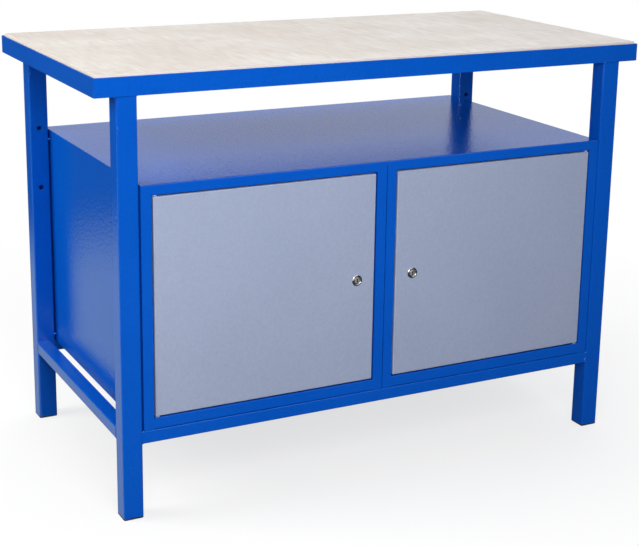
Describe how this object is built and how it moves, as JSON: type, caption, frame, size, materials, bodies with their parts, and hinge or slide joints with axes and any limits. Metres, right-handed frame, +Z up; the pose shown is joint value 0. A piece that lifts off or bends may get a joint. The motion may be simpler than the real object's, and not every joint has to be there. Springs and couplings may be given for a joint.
{
  "type": "workbench with cabinet doors",
  "caption": "Steel workbench with a plywood top in an angle frame, an open shelf deck and locking swing-door cabinets between square tube legs.",
  "frame": {"origin": "on the floor under the middle of the worktop", "axes": "+X along the bench to the user's right, +Y from the front to the back, +Z up"},
  "size_m": [1.2, 0.6, 0.86],
  "materials": {
    "blue_paint": "glossy blue powder coat with fine orange peel",
    "grey_paint": "satin light grey powder coat with a lavender tint",
    "plywood": "pale sanded plywood",
    "black_plastic": "moulded plugs",
    "chrome": "polished lock heads",
    "zinc_steel": "zinc plated fasteners"
  },
  "bodies": {
    "bench": {"worktop_panel": "plywood", "top_frame_front": "blue_paint", "top_frame_rear": "blue_paint", "top_frame_left": "blue_paint", "top_frame_right": "blue_paint", "bearer_left": "blue_paint", "bearer_right": "blue_paint", "worktop_screw_1": "zinc_steel", "worktop_screw_2": "zinc_steel", "worktop_screw_3": "zinc_steel", "worktop_screw_4": "zinc_steel", "leg_front_left": "blue_paint", "foot_front_left": "black_plastic", "leg_rear_left": "blue_paint", "foot_rear_left": "black_plastic", "side_rail_left": "blue_paint", "leg_front_right": "blue_paint", "foot_front_right": "black_plastic", "leg_rear_right": "blue_paint", "foot_rear_right": "black_plastic", "side_rail_right": "blue_paint", "front_rail": "blue_paint", "rear_rail": "blue_paint", "shelf_deck": "blue_paint", "left_outer_side": "blue_paint", "left_inner_side": "blue_paint", "left_back": "blue_paint", "left_floor": "blue_paint", "left_outer_stile": "blue_paint", "left_inner_stile": "blue_paint", "left_top_rail": "blue_paint", "left_shelf": "blue_paint", "left_outer_ledge": "blue_paint", "left_inner_ledge": "blue_paint", "right_outer_side": "blue_paint", "right_inner_side": "blue_paint", "right_back": "blue_paint", "right_floor": "blue_paint", "right_outer_stile": "blue_paint", "right_inner_stile": "blue_paint", "right_top_rail": "blue_paint", "right_shelf": "blue_paint", "right_outer_ledge": "blue_paint", "right_inner_ledge": "blue_paint"},
    "left_door": {"left_door": "grey_paint", "left_upper_pin": "grey_paint", "left_lower_pin": "grey_paint", "left_lock_body": "chrome", "left_lock_nut": "zinc_steel"},
    "left_lock": {"left_lock_plug": "chrome", "left_lock_cam": "zinc_steel", "left_cam_screw": "zinc_steel"},
    "right_door": {"right_door": "grey_paint", "right_upper_pin": "grey_paint", "right_lower_pin": "grey_paint", "right_lock_body": "chrome", "right_lock_nut": "zinc_steel"},
    "right_lock": {"right_lock_plug": "chrome", "right_lock_cam": "zinc_steel", "right_cam_screw": "zinc_steel"}
  },
  "joints": [
    {"name": "left_door_swing", "type": "hinge", "parent": "bench", "child": "left_door", "pos_m": [-0.486, -0.2915, 0.41675], "axis": [0, 0, -1], "range_deg": [0, 105]},
    {"name": "left_lock_turn", "type": "hinge", "parent": "left_door", "child": "left_lock", "pos_m": [-0.06375, -0.297, 0.41675], "axis": [0, -1, 0], "range_deg": [0, 90]},
    {"name": "right_door_swing", "type": "hinge", "parent": "bench", "child": "right_door", "pos_m": [0.486, -0.2915, 0.41675], "axis": [0, 0, 1], "range_deg": [0, 105]},
    {"name": "right_lock_turn", "type": "hinge", "parent": "right_door", "child": "right_lock", "pos_m": [0.06375, -0.297, 0.41675], "axis": [0, 1, 0], "range_deg": [0, 90]}
  ]
}
